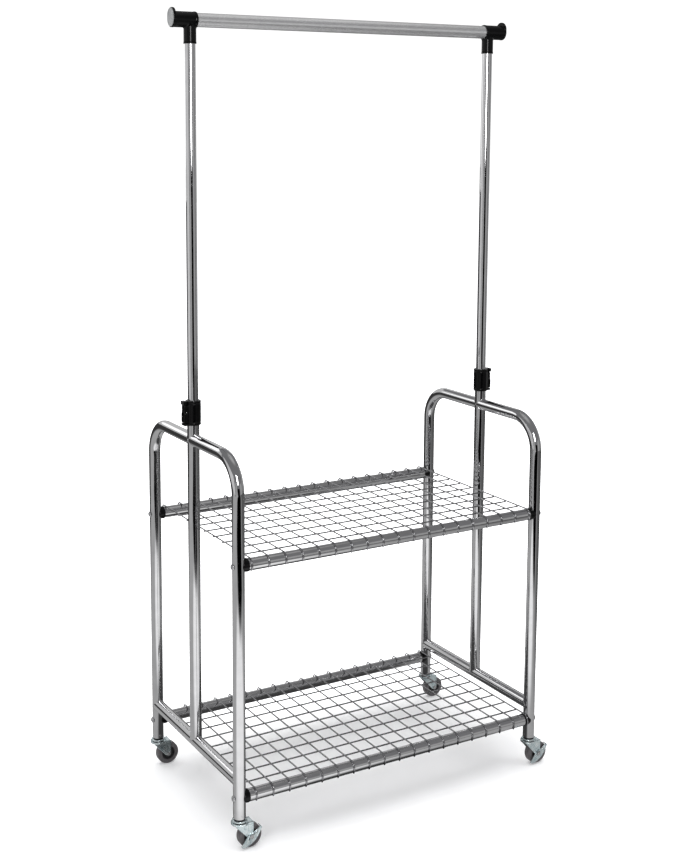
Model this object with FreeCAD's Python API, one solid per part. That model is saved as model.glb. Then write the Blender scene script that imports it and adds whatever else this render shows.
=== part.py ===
"""Rolling clothes rack: two hooped end frames on casters, two wire shelves and a sliding hanging bar.

X runs along the hanging bar, Y from front to back and Z up from the floor, in millimetres.
The origin is on the floor under the middle of the rack.
The left end has negative X and the front has negative Y.
"""
import FreeCAD, Part
import math
import os

V = FreeCAD.Vector
X_AXIS = V(1, 0, 0)
Y_AXIS = V(0, 1, 0)
UP = V(0, 0, 1)
ORIGIN = V(0, 0, 0)

# Driving dimensions: the end frames and the shelves' rails are one size of steel tube.
TUBE_R = 12.7
TUBE_WALL = 1.2
TUBE_BORE_R = TUBE_R - TUBE_WALL
FIT = 0.02                      # gap left between two pieces that touch on a curved face
LEG_X = 366.4                   # leg and upright axes, from the middle of the rack
LEG_Y = 202.0                   # leg axes, from the middle of the rack
LEG_BOTTOM_Z = 66.0
LOWER_RAIL_Z = 108.0
UPPER_RAIL_Z = 585.0
CROSSBAR_Z = 142.0
HOOP_Z = 794.5                  # axis of the flat top of each end hoop
HOOP_BEND_R = 70.0
COPE_SETBACK = 3.5              # a coped tube stops this far short of the other tube's axis

# Rail ends: a black cap saddles the leg, and one bolt runs through the leg into a nut in the cap.
CAP_LENGTH = 3.2
CAP_SPIGOT = 20.0
CAP_SPIGOT_R = TUBE_BORE_R - 0.05
RAIL_END_X = LEG_X - TUBE_R - CAP_LENGTH
BOLT_R = 3.0
BOLT_HOLE_R = 3.25
BOLT_HEAD_R = 6.5
BOLT_HEAD_HEIGHT = 3.6
SOCKET_AF = 4.0
NUT_AF = 10.0
NUT_THICKNESS = 5.0

# Wire shelves: cross wires lie over the two rails, and long wires are welded under them.
WIRE_R = 1.5
CROSS_WIRES = 19
CROSS_PITCH = 38.1
LONG_WIRES = 9
LONG_PITCH = 43.0
LOWER_SHELF_SHIFT = 9.0         # the lower shelf sits this far towards +X
HOOK_R = TUBE_R + WIRE_R + FIT
FRONT_HOOK_DEG = 131.0
REAR_BEND_R = 8.0
REAR_DROP = 10.0

# Sliding mast: inner tubes, two tees and the hanging bar.
INNER_R = 11.0
INNER_WALL = 1.1
INNER_BOTTOM_Z = 745.0
INNER_TOP_Z = 1625.0
BAR_Z = 1641.0
BAR_R = 14.0
BAR_WALL = 1.2
TEE_INNER_X = 354.0
FLANGE_X = 407.3
END_CAP_X = 408.5
TEE_R = 15.75
FLANGE_R = 15.9
FLANGE_THICKNESS = 5.0
FLANGE_RISE = 7.2
TEE_SOCKET_R = 12.8
TEE_BOTTOM_Z = 1594.5
END_CAP_R = 14.7
END_CAP_SPIGOT = 14.0
END_CAP_ROUNDING = 0.6
GLIDE_R = TUBE_BORE_R - 0.08
GLIDE_FLANGE = 3.0
GLIDE_SPIGOT = 16.0
GLIDE_SPIGOT_R = INNER_R - INNER_WALL - 0.05

# Collars: each clamps the outer tube and carries a cam lever that locks the inner tube.
COLLAR_Z = 826.0
COLLAR_HEIGHT = 51.0
COLLAR_R = 16.0
COLLAR_BORE_R = INNER_R + 0.08
OUTER_TUBE_TOP_Z = COLLAR_Z + 20.0
HOUSING_HALF = 8.0
HOUSING_REACH = 23.5
CHEEK_REACH = 22.5
STEP_HEIGHT = 25.6
CHEEK_HEIGHT = 42.0
PIVOT_REACH = 18.5
PIVOT_HEIGHT = 28.0
POCKET_R = 7.5
SLOT_HALF = 5.25
SLOT_REACH = 16.3
LEVER_HALF = 5.0
LEVER_HUB_R = 4.3
CAM_R = 7.2
CAM_FROM_DEG = -10.0
CAM_TO_DEG = 25.0
LEVER_ARM = (17.5, 22.0)
LIP_REACH = (17.0, 25.0)
LIP_HEIGHT = (43.0, COLLAR_HEIGHT)
PIN_R = 1.5
PIN_CLEARANCE = 0.06

# Casters: a stem plugs into a socket in the leg, and the fork swivels under it on balls.
WHEEL_R = 25.0
WHEEL_HALF = 8.5
TYRE_SHOULDER = ((24.1, 7.6), (22.0, WHEEL_HALF))   # (radius, half width) where its facets meet
HUB_R = 15.5
HUB_HALF = 9.0
HUB_RIM_THICKNESS = 2.5
HUB_RECESS = 3.0
BOSS_R = 6.0
TRAIL = 21.0
AXLE_R = 3.0
AXLE_HEAD_R = 4.8
AXLE_HEAD = 1.5
AXLE_CLEARANCE = 0.05
AXLE_PLAY = 0.3                 # gap between a plate and the axle's head
FORK_INNER = 9.5
FORK_OUTER = 11.3
FORK_TIP_R = 5.5
FORK_FRONT = -12.0
FORK_BACK = 26.5
FORK_TIP_LEAN_DEG = 222.0
DISH_R = 17.5
DISH_Z = 53.6
DISH_TOP_Z = 55.4
DISH_RIM_Z = 58.0
DISH_RIM = 1.5
BALL_R = 2.0
BALL_COUNT = 12
BALL_CIRCLE_R = 11.0
CUP_R = 15.0
CUP_Z = 59.45
CUP_ROUNDING = 1.2
SOCKET_Z = 63.0
SOCKET_FLANGE_R = 11.5
SOCKET_R = TUBE_BORE_R - 0.05
SOCKET_LENGTH = 30.0
STEM_R = 5.5
STEM_TOP_Z = 92.0
STEM_HEAD_R = 8.5
STEM_HEAD_Z = 51.8
STEM_HEAD_GAP = 0.3             # play under the fork's dish

# Brake levers, on the two front casters: a leaf outside the front fork plate, with a tab over the tyre.
BRAKE_INNER = 11.7
BRAKE_OUTER = 13.2
BRAKE_ANGLE_DEG = 42.0
BRAKE_OUTLINE = ((-28.5, -1.5), (-26.5, -4.5), (-22.0, -7.5), (-12.0, -11.0), (0.0, -12.3), (8.0, -11.2),
                 (17.0, -8.6), (24.5, -5.5), (27.5, -4.5), (27.5, 1.5), (17.0, 1.6), (9.0, 4.0),
                 (3.0, 6.0), (-4.0, 7.8), (-9.0, 6.8), (-17.5, 4.9), (-25.5, 3.6), (-28.5, 1.5))
BRAKE_TAB_ALONG = (25.9, 27.5)
BRAKE_TAB_ACROSS = (-4.5, 1.5)
BRAKE_TAB_REACH = 10.2

CORNERS = {"front_left": (-1, -1), "front_right": (1, -1), "rear_left": (-1, 1), "rear_right": (1, 1)}
BRAKED_CORNERS = ("front_left", "front_right")


def rod(radius, start, along, length):
    """Round bar from a start point."""
    return Part.makeCylinder(radius, length, start, along)


def tube(radius, wall, start, along, length):
    """Round tube from a start point."""
    return rod(radius, start, along, length).cut(rod(radius - wall, start, along, length))


def block(x, y, z):
    """Box between (low, high) pairs along X, Y and Z."""
    return Part.makeBox(x[1] - x[0], y[1] - y[0], z[1] - z[0], V(x[0], y[0], z[0]))


def moved(shape, x, y, z):
    """Copy of a shape, shifted."""
    copy = shape.copy()
    copy.translate(V(x, y, z))
    return copy


def mirror_x(shape):
    """The same piece for the other end of the rack."""
    return shape.mirror(ORIGIN, X_AXIS)


def mirror_y(shape):
    """The same piece for the other side of the rack."""
    return shape.mirror(ORIGIN, Y_AXIS)


def prism_y(outline, y_low, y_high):
    """Flat outline in the XZ plane, extruded along Y."""
    points = [V(x, y_low, z) for x, z in outline]
    face = Part.Face(Part.makePolygon(points + points[:1]))
    return face.extrude(V(0, y_high - y_low, 0))


def hex_bar(across_flats, x_start, length):
    """Hexagonal bar along X, centred on the X axis."""
    corner = across_flats / math.sqrt(3)
    angles = [math.radians(60 * i) for i in range(7)]
    points = [V(x_start, corner * math.cos(a), corner * math.sin(a)) for a in angles]
    return Part.Face(Part.makePolygon(points)).extrude(V(length, 0, 0))


def export(name, solids):
    """Write one sub-part, which may be a group of identical solids."""
    shape = solids[0] if len(solids) == 1 else Part.makeCompound(solids)
    shape.exportStep("parts/" + name + ".step")


# ---- end frames ----

def bolt_holes(shape, y):
    """Cross holes for the two rail bolts of a leg."""
    for z in (LOWER_RAIL_Z, UPPER_RAIL_Z):
        shape = shape.cut(rod(BOLT_HOLE_R, V(-LEG_X - 2 * TUBE_R, y, z), X_AXIS, 4 * TUBE_R))
    return shape


def rear_left_leg():
    """Leg that bends over at the top and is coped onto the upright."""
    bend_z = HOOP_Z - HOOP_BEND_R
    bend_y = LEG_Y - HOOP_BEND_R
    foot = V(-LEG_X, LEG_Y, LEG_BOTTOM_Z)
    straight = tube(TUBE_R, TUBE_WALL, foot, UP, bend_z - LEG_BOTTOM_Z)
    outer = Part.Face(Part.Wire(Part.makeCircle(TUBE_R, V(-LEG_X, LEG_Y, bend_z))))
    inner = Part.Face(Part.Wire(Part.makeCircle(TUBE_BORE_R, V(-LEG_X, LEG_Y, bend_z))))
    bend = outer.cut(inner).Faces[0].revolve(V(-LEG_X, bend_y, bend_z), X_AXIS, 90)
    top = tube(TUBE_R, TUBE_WALL, V(-LEG_X, COPE_SETBACK, HOOP_Z), Y_AXIS, bend_y - COPE_SETBACK)
    leg = straight.fuse([bend, top]).removeSplitter()
    leg = leg.cut(rod(TUBE_R + FIT, V(-LEG_X, 0, 0), UP, BAR_Z))
    return bolt_holes(leg, LEG_Y)


def left_upright():
    """Outer tube of the telescoping mast, standing on the crossbar."""
    foot_z = CROSSBAR_Z + COPE_SETBACK
    shape = tube(TUBE_R, TUBE_WALL, V(-LEG_X, 0, foot_z), UP, OUTER_TUBE_TOP_Z - foot_z)
    return shape.cut(rod(TUBE_R + FIT, V(-LEG_X, -LEG_Y, CROSSBAR_Z), Y_AXIS, 2 * LEG_Y))


def left_crossbar():
    """Low tube between the front and rear legs, coped at both ends."""
    half = LEG_Y - COPE_SETBACK
    shape = tube(TUBE_R, TUBE_WALL, V(-LEG_X, -half, CROSSBAR_Z), Y_AXIS, 2 * half)
    for y in (-LEG_Y, LEG_Y):
        shape = shape.cut(rod(TUBE_R + FIT, V(-LEG_X, y, 0), UP, HOOP_Z))
    return shape


# ---- shelves ----

def rail(y, z):
    """Straight rail between two legs."""
    return tube(TUBE_R, TUBE_WALL, V(-RAIL_END_X, y, z), X_AXIS, 2 * RAIL_END_X)


def left_rail_cap():
    """Plug in a rail's left end, with a saddle that hugs the leg; its axis is the X axis."""
    saddle_x = -LEG_X + COPE_SETBACK
    skirt = rod(TUBE_R, V(saddle_x, 0, 0), X_AXIS, -RAIL_END_X - saddle_x)
    spigot = rod(CAP_SPIGOT_R, V(-RAIL_END_X, 0, 0), X_AXIS, CAP_SPIGOT)
    cap = skirt.fuse(spigot).cut(rod(TUBE_R + FIT, V(-LEG_X, 0, -2 * TUBE_R), UP, 4 * TUBE_R))
    cap = cap.cut(rod(BOLT_HOLE_R, V(-LEG_X, 0, 0), X_AXIS, CAP_LENGTH + CAP_SPIGOT + TUBE_R))
    return cap.cut(hex_bar(NUT_AF + 2 * FIT, -RAIL_END_X + CAP_SPIGOT - NUT_THICKNESS, NUT_THICKNESS))


def left_rail_nut():
    """Nut held in the inner end of a cap."""
    start = -RAIL_END_X + CAP_SPIGOT - NUT_THICKNESS
    thread = rod(BOLT_R + FIT, V(start, 0, 0), X_AXIS, NUT_THICKNESS)
    return hex_bar(NUT_AF, start, NUT_THICKNESS).cut(thread)


def left_rail_bolt():
    """Domed socket-head bolt from outside the leg to the nut."""
    seat = -LEG_X - TUBE_R - FIT
    shank = rod(BOLT_R, V(seat, 0, 0), X_AXIS, CAP_SPIGOT - RAIL_END_X - seat)
    dome_r = (BOLT_HEAD_R ** 2 + BOLT_HEAD_HEIGHT ** 2) / (2 * BOLT_HEAD_HEIGHT)
    dome = Part.makeSphere(dome_r, V(seat - BOLT_HEAD_HEIGHT + dome_r, 0, 0))
    head = dome.common(rod(BOLT_HEAD_R, V(seat - BOLT_HEAD_HEIGHT, 0, 0), X_AXIS, BOLT_HEAD_HEIGHT))
    socket_depth = BOLT_HEAD_HEIGHT / 2
    return head.fuse(shank).cut(hex_bar(SOCKET_AF, seat - BOLT_HEAD_HEIGHT, socket_depth))


def at_rail_ends(left_piece, heights):
    """Copies of a left-end piece at both ends of the front and rear rails."""
    copies = []
    for z in heights:
        for y in (-LEG_Y, LEG_Y):
            piece = moved(left_piece, 0, y, z)
            copies += [piece, mirror_x(piece)]
    return copies


def cross_wire(rail_z):
    """Wire from a hook around the front rail to a square bend behind the rear rail."""
    top = rail_z + HOOK_R
    arc_from = math.radians(90 + FRONT_HOOK_DEG)
    arc_mid = math.radians(90 + FRONT_HOOK_DEG / 2)
    start = V(0, -LEG_Y + HOOK_R * math.cos(arc_from), rail_z + HOOK_R * math.sin(arc_from))
    middle = V(0, -LEG_Y + HOOK_R * math.cos(arc_mid), rail_z + HOOK_R * math.sin(arc_mid))
    front_top = V(0, -LEG_Y, top)
    rear_y = LEG_Y + HOOK_R
    bend_start = V(0, rear_y - REAR_BEND_R, top)
    lift = REAR_BEND_R * (1 - math.cos(math.radians(45)))
    bend_middle = V(0, rear_y - lift, top - lift)
    bend_end = V(0, rear_y, top - REAR_BEND_R)
    tail = V(0, rear_y, top - REAR_BEND_R - REAR_DROP)
    path = Part.Wire([
        Part.Arc(start, middle, front_top).toShape(),
        Part.makeLine(front_top, bend_start),
        Part.Arc(bend_start, bend_middle, bend_end).toShape(),
        Part.makeLine(bend_end, tail),
    ])
    heading = V(0, -math.sin(arc_from), math.cos(arc_from))
    section = Part.Wire(Part.makeCircle(WIRE_R, start, heading))
    return path.makePipeShell([section], True, True)


def cross_wires(rail_z, shift):
    """The shelf's cross wires, evenly spaced along the rails."""
    wire = cross_wire(rail_z)
    first = shift - CROSS_PITCH * (CROSS_WIRES - 1) / 2
    return [moved(wire, first + i * CROSS_PITCH, 0, 0) for i in range(CROSS_WIRES)]


def long_wires(rail_z, shift):
    """The shelf's long wires, welded under the cross wires."""
    reach = CROSS_PITCH * (CROSS_WIRES - 1) / 2 + WIRE_R
    z = rail_z + HOOK_R - 2 * WIRE_R - FIT
    first = -LONG_PITCH * (LONG_WIRES - 1) / 2
    starts = [V(shift - reach, first + i * LONG_PITCH, z) for i in range(LONG_WIRES)]
    return [rod(WIRE_R, start, X_AXIS, 2 * reach) for start in starts]


# ---- mast and collars ----

def left_inner_tube():
    """Sliding tube of the mast."""
    return tube(INNER_R, INNER_WALL, V(-LEG_X, 0, INNER_BOTTOM_Z), UP, INNER_TOP_Z - INNER_BOTTOM_Z)


def left_glide():
    """Plastic shoe on the foot of the inner tube, which runs in the outer tube."""
    bottom = V(-LEG_X, 0, INNER_BOTTOM_Z - GLIDE_FLANGE)
    shoe = rod(GLIDE_R, bottom, UP, GLIDE_FLANGE - FIT)
    return shoe.fuse(rod(GLIDE_SPIGOT_R, bottom, UP, GLIDE_FLANGE + GLIDE_SPIGOT))


def oblong(radius, x, thickness):
    """Upright oblong plate round the hanging bar's axis, raised above it, from x towards +X."""
    foot = V(x, 0, BAR_Z)
    side = Part.makeBox(thickness, 2 * radius, FLANGE_RISE, foot - V(0, radius, 0))
    ends = [rod(radius, foot, X_AXIS, thickness), rod(radius, foot + V(0, 0, FLANGE_RISE), X_AXIS, thickness)]
    return side.fuse(ends).removeSplitter()


def left_tee():
    """Moulded fitting that joins the hanging bar to the inner tube."""
    barrel = rod(TEE_R, V(-FLANGE_X, 0, BAR_Z), X_AXIS, FLANGE_X - TEE_INNER_X)
    flange = oblong(FLANGE_R, -FLANGE_X, FLANGE_THICKNESS)
    socket = rod(TEE_SOCKET_R, V(-LEG_X, 0, TEE_BOTTOM_Z), UP, BAR_Z - TEE_BOTTOM_Z)
    bar_bore = rod(BAR_R + FIT, V(-FLANGE_X, 0, BAR_Z), X_AXIS, FLANGE_X)
    tube_bore = rod(INNER_R + FIT, V(-LEG_X, 0, TEE_BOTTOM_Z), UP, BAR_Z - TEE_BOTTOM_Z)
    return barrel.fuse([flange, socket]).removeSplitter().cut(bar_bore).cut(tube_bore)


def hanging_bar():
    """Bar that clothes hang from."""
    half = FLANGE_X - FIT
    return tube(BAR_R, BAR_WALL, V(-half, 0, BAR_Z), X_AXIS, 2 * half)


def left_end_cap():
    """Grey disc over the end of the hanging bar."""
    disc = oblong(END_CAP_R, -END_CAP_X, END_CAP_X - FLANGE_X)
    outer_rim = [e for e in disc.Edges if e.BoundBox.XMax < -END_CAP_X + FIT]
    disc = disc.makeFillet(END_CAP_ROUNDING, outer_rim)
    return disc.fuse(rod(BAR_R - BAR_WALL - FIT, V(-FLANGE_X, 0, BAR_Z), X_AXIS, END_CAP_SPIGOT))


def left_collar():
    """Sleeve around both tubes, with a housing on its outer side for the lever."""
    z = COLLAR_Z
    body = rod(COLLAR_R, V(0, 0, z), UP, COLLAR_HEIGHT)
    lower = block((-HOUSING_REACH, 0), (-HOUSING_HALF, HOUSING_HALF), (z, z + STEP_HEIGHT))
    upper = block((-CHEEK_REACH, 0), (-HOUSING_HALF, HOUSING_HALF), (z, z + CHEEK_HEIGHT))
    body = body.fuse([lower, upper]).removeSplitter()
    slot = block((-2 * CHEEK_REACH, -SLOT_REACH), (-SLOT_HALF, SLOT_HALF),
                 (z + PIVOT_HEIGHT, z + 2 * COLLAR_HEIGHT))
    pocket = rod(POCKET_R, V(-PIVOT_REACH, -SLOT_HALF, z + PIVOT_HEIGHT), Y_AXIS, 2 * SLOT_HALF)
    outer_tube_bore = rod(TUBE_R + FIT, V(0, 0, z), UP, OUTER_TUBE_TOP_Z - z)
    inner_tube_bore = rod(COLLAR_BORE_R, V(0, 0, z), UP, COLLAR_HEIGHT)
    pin_hole = rod(PIN_R + FIT, V(-PIVOT_REACH, -HOUSING_HALF, z + PIVOT_HEIGHT), Y_AXIS, 2 * HOUSING_HALF)
    for hole in (slot, pocket, outer_tube_bore, inner_tube_bore, pin_hole):
        body = body.cut(hole)
    return moved(body, -LEG_X, 0, 0)


def left_collar_lever():
    """Cam lever: its nose presses on the inner tube until the lip is pulled outwards."""
    z = COLLAR_Z
    pivot = V(-PIVOT_REACH, -LEVER_HALF, z + PIVOT_HEIGHT)
    hub = rod(LEVER_HUB_R, pivot, Y_AXIS, 2 * LEVER_HALF)
    arm = block((-LEVER_ARM[1], -LEVER_ARM[0]), (-LEVER_HALF, LEVER_HALF),
                (z + PIVOT_HEIGHT, z + COLLAR_HEIGHT))
    lip = block((-LIP_REACH[1], -LIP_REACH[0]), (-HOUSING_HALF, HOUSING_HALF),
                (z + LIP_HEIGHT[0], z + LIP_HEIGHT[1]))
    cam = Part.makeCylinder(CAM_R, 2 * LEVER_HALF, pivot, Y_AXIS, CAM_TO_DEG - CAM_FROM_DEG)
    cam.rotate(pivot, Y_AXIS, CAM_FROM_DEG)
    lever = hub.fuse([arm, lip, cam]).removeSplitter()
    lever = lever.cut(rod(PIN_R + PIN_CLEARANCE, pivot, Y_AXIS, 2 * LEVER_HALF))
    return moved(lever, -LEG_X, 0, 0)


def left_collar_pin():
    """Hinge pin of the collar lever."""
    start = V(-LEG_X - PIVOT_REACH, -HOUSING_HALF, COLLAR_Z + PIVOT_HEIGHT)
    return rod(PIN_R, start, Y_AXIS, 2 * HOUSING_HALF)


# ---- casters, around a swivel axis at the origin, trailing towards +X ----

def caster_socket():
    """Plastic plug in the foot of a leg, bored for the stem."""
    flange = rod(SOCKET_FLANGE_R, V(0, 0, SOCKET_Z), UP, LEG_BOTTOM_Z - SOCKET_Z - FIT)
    plug = rod(SOCKET_R, V(0, 0, SOCKET_Z), UP, LEG_BOTTOM_Z - SOCKET_Z + SOCKET_LENGTH)
    return flange.fuse(plug).cut(rod(STEM_R + FIT, V(0, 0, SOCKET_Z), UP, 2 * SOCKET_LENGTH))


def caster_stem():
    """Stem that holds the fork and plugs into the socket."""
    head = rod(STEM_HEAD_R, V(0, 0, STEM_HEAD_Z), UP, DISH_Z - STEM_HEAD_Z - STEM_HEAD_GAP)
    return head.fuse(rod(STEM_R, V(0, 0, STEM_HEAD_Z), UP, STEM_TOP_Z - STEM_HEAD_Z))


def caster_cup():
    """Upper ball race, fixed on the stem."""
    cup = rod(CUP_R, V(0, 0, CUP_Z), UP, SOCKET_Z - FIT - CUP_Z)
    cup = cup.makeFillet(CUP_ROUNDING, [e for e in cup.Edges if e.BoundBox.ZMin > CUP_Z + FIT])
    return cup.cut(rod(STEM_R + FIT, V(0, 0, CUP_Z), UP, CUP_R))


def caster_balls():
    """Balls between the fork's dish and the upper race."""
    centre_z = (DISH_TOP_Z + CUP_Z) / 2
    angles = [2 * math.pi * i / BALL_COUNT for i in range(BALL_COUNT)]
    return [Part.makeSphere(BALL_R, V(BALL_CIRCLE_R * math.cos(a), BALL_CIRCLE_R * math.sin(a), centre_z))
            for a in angles]


def fork_plate():
    """Side plate of the fork, from its dish down to the axle."""
    lean = math.radians(FORK_TIP_LEAN_DEG)
    tip_front = (TRAIL + FORK_TIP_R * math.cos(lean), WHEEL_R + FORK_TIP_R * math.sin(lean))
    outline = [(FORK_FRONT, DISH_TOP_Z), (FORK_BACK, DISH_TOP_Z), (FORK_BACK, WHEEL_R), tip_front,
               (FORK_FRONT, DISH_Z)]
    plate = prism_y(outline, FORK_INNER, FORK_OUTER)
    return plate.fuse(rod(FORK_TIP_R, V(TRAIL, FORK_INNER, WHEEL_R), Y_AXIS, FORK_OUTER - FORK_INNER))


def fork():
    """Pressed fork: a dish for the balls and two side plates."""
    dish = rod(DISH_R, V(0, 0, DISH_Z), UP, DISH_RIM_Z - DISH_Z)
    dish = dish.cut(rod(DISH_R - DISH_RIM, V(0, 0, DISH_TOP_Z), UP, DISH_RIM_Z))
    deck = block((0, FORK_BACK), (-FORK_OUTER, FORK_OUTER), (DISH_Z, DISH_TOP_Z))
    plate = fork_plate()
    body = dish.fuse([deck, plate, mirror_y(plate)]).removeSplitter()
    body = body.cut(rod(DISH_R - DISH_RIM, V(0, 0, DISH_TOP_Z), UP, DISH_RIM_Z))
    body = body.cut(rod(STEM_R + AXLE_CLEARANCE, V(0, 0, 0), UP, DISH_RIM_Z))
    return body.cut(rod(AXLE_R + FIT, V(TRAIL, -DISH_R, WHEEL_R), Y_AXIS, 2 * DISH_R))


def axle(front, rear):
    """Riveted axle that holds what lies between its two heads' seats."""
    shaft = rod(AXLE_R, V(TRAIL, -front, WHEEL_R), Y_AXIS, front + rear)
    heads = [rod(AXLE_HEAD_R, V(TRAIL, y, WHEEL_R), Y_AXIS, AXLE_HEAD) for y in (-front - AXLE_HEAD, rear)]
    return shaft.fuse(heads)


def hub():
    """Wheel centre: a rim for the tyre, a web and a boss on the axle."""
    rim = rod(HUB_R, V(TRAIL, -WHEEL_HALF, WHEEL_R), Y_AXIS, 2 * WHEEL_HALF)
    for y in (-WHEEL_HALF, WHEEL_HALF - HUB_RECESS):
        rim = rim.cut(rod(HUB_R - HUB_RIM_THICKNESS, V(TRAIL, y, WHEEL_R), Y_AXIS, HUB_RECESS))
    boss = rod(BOSS_R, V(TRAIL, -HUB_HALF, WHEEL_R), Y_AXIS, 2 * HUB_HALF)
    body = rim.fuse(boss).removeSplitter()
    return body.cut(rod(AXLE_R + AXLE_CLEARANCE, V(TRAIL, -HUB_HALF, WHEEL_R), Y_AXIS, 2 * HUB_HALF))


def tyre():
    """Rubber tyre with faceted shoulders."""
    half_profile = [(WHEEL_R, WHEEL_HALF - (WHEEL_R - TYRE_SHOULDER[1][0]))] + list(TYRE_SHOULDER)
    half_profile.append((HUB_R + FIT, WHEEL_HALF))
    outline = half_profile + [(radius, -y) for radius, y in reversed(half_profile)]
    points = [V(TRAIL, y, WHEEL_R - radius) for radius, y in outline]
    section = Part.Face(Part.makePolygon(points + points[:1]))
    return section.revolve(V(TRAIL, 0, WHEEL_R), Y_AXIS, 360)


def brake_lever():
    """See-saw lever on the axle: its tab lies over the tyre's back, its toe is in front."""
    plate = prism_y(list(BRAKE_OUTLINE), -BRAKE_OUTER, -BRAKE_INNER)
    tab = block(BRAKE_TAB_ALONG, (-BRAKE_OUTER, BRAKE_TAB_REACH - BRAKE_OUTER), BRAKE_TAB_ACROSS)
    lever = plate.fuse(tab).removeSplitter()
    lever = lever.cut(rod(AXLE_R + AXLE_CLEARANCE, V(0, -DISH_R, 0), Y_AXIS, 2 * DISH_R))
    lever.rotate(ORIGIN, Y_AXIS, -BRAKE_ANGLE_DEG)
    return moved(lever, TRAIL, 0, WHEEL_R)


# ---- the whole rack ----

def build_frame():
    """Welded end frames, bolted rails, shelves and collars."""
    leg = rear_left_leg()
    for name, shape in (("rear_left_leg", leg), ("front_left_leg", mirror_y(leg))):
        export(name, [shape])
        export(name.replace("left", "right"), [mirror_x(shape)])
    for name, shape in (("left_upright", left_upright()), ("left_crossbar", left_crossbar()),
                        ("left_collar", left_collar()), ("left_collar_lever", left_collar_lever())):
        export(name, [shape])
        export(name.replace("left", "right"), [mirror_x(shape)])
    pin = left_collar_pin()
    export("collar_pins", [pin, mirror_x(pin)])
    for level, z, shift in (("lower", LOWER_RAIL_Z, LOWER_SHELF_SHIFT), ("upper", UPPER_RAIL_Z, 0.0)):
        export(level + "_front_rail", [rail(-LEG_Y, z)])
        export(level + "_rear_rail", [rail(LEG_Y, z)])
        export(level + "_rail_caps", at_rail_ends(left_rail_cap(), (z,)))
        export(level + "_cross_wires", cross_wires(z, shift))
        export(level + "_long_wires", long_wires(z, shift))
    heights = (LOWER_RAIL_Z, UPPER_RAIL_Z)
    export("rail_bolts", at_rail_ends(left_rail_bolt(), heights))
    export("rail_nuts", at_rail_ends(left_rail_nut(), heights))


def build_mast():
    """Everything that slides up and down with the hanging bar."""
    for name, shape in (("left_inner_tube", left_inner_tube()), ("left_tee", left_tee()),
                        ("left_end_cap", left_end_cap())):
        export(name, [shape])
        export(name.replace("left", "right"), [mirror_x(shape)])
    glide = left_glide()
    export("mast_glides", [glide, mirror_x(glide)])
    export("hanging_bar", [hanging_bar()])


def build_casters():
    """Fixed stems and sockets, then the swivelling fork, wheel and brake at each corner."""
    places = [(side_x * LEG_X, side_y * LEG_Y) for side_x, side_y in CORNERS.values()]
    for name, piece in (("caster_sockets", caster_socket()), ("caster_stems", caster_stem()),
                        ("caster_cups", caster_cup())):
        export(name, [moved(piece, x, y, 0) for x, y in places])
    export("caster_balls", [moved(ball, x, y, 0) for x, y in places for ball in caster_balls()])
    for corner, (side_x, side_y) in CORNERS.items():
        braked = corner in BRAKED_CORNERS
        front = BRAKE_OUTER if braked else FORK_OUTER
        pieces = {"fork": fork(), "axle": axle(front + AXLE_PLAY, FORK_OUTER + AXLE_PLAY),
                  "hub": hub(), "tyre": tyre()}
        if braked:
            pieces["brake_lever"] = brake_lever()
        for piece, shape in pieces.items():
            export(corner + "_" + piece, [moved(shape, side_x * LEG_X, side_y * LEG_Y, 0)])


os.makedirs("parts", exist_ok=True)
build_frame()
build_mast()
build_casters()
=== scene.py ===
"""Rolling clothes rack: the looks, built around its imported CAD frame.

Shapes are in millimetres until they are placed. X runs along the rack, Y to its rear, Z up.
"""

import itertools
import math

import bpy
import numpy as np
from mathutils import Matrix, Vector


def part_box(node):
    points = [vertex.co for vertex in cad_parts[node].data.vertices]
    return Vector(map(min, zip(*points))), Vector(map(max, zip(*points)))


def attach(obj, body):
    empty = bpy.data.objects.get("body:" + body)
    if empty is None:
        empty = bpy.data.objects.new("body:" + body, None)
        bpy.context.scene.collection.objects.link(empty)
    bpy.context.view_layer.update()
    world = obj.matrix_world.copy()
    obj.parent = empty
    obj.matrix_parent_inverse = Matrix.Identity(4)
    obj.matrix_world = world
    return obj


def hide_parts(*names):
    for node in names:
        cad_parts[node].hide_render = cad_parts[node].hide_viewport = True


MM = 0.001
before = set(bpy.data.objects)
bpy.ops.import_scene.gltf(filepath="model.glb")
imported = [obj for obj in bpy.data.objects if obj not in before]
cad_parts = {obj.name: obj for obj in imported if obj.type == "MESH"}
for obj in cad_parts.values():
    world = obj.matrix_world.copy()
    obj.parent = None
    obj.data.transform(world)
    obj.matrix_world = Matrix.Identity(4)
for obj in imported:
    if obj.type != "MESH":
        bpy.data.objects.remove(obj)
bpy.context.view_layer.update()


# ---- places, read from the CAD nodes ----

def middle(node):
    low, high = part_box(node)
    return (low + high) / 2 / MM


def low_mm(node):
    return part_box(node)[0] / MM


def high_mm(node):
    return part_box(node)[1] / MM


TUBE_R = (high_mm("left_upright").x - low_mm("left_upright").x) / 2
TUBE_WALL = 1.2
TUBE_BORE_R = TUBE_R - TUBE_WALL
LEG_X = middle("right_upright").x
LEG_Y = middle("lower_rear_rail").y
LEG_BOTTOM = low_mm("front_left_leg").z
HOOP_Z = high_mm("front_left_leg").z - TUBE_R
HOOP_BEND_R = 70.0
HOOP_BEND_STEPS = 28
CROSSBAR_Z = middle("left_crossbar").z
RAIL_Z = {level: middle(level + "_front_rail").z for level in ("lower", "upper")}
RAIL_END_X = high_mm("lower_front_rail").x
UPRIGHT_TOP = high_mm("left_upright").z
INNER_R = (high_mm("left_inner_tube").x - low_mm("left_inner_tube").x) / 2
INNER_WALL = 1.1
BAR_Z = middle("hanging_bar").z
BAR_R = (high_mm("hanging_bar").z - low_mm("hanging_bar").z) / 2
BAR_END = high_mm("hanging_bar").x
FLANGE_X = high_mm("right_tee").x
TEE_INNER_X = 354.0
TEE_BOTTOM = low_mm("right_tee").z
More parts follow.
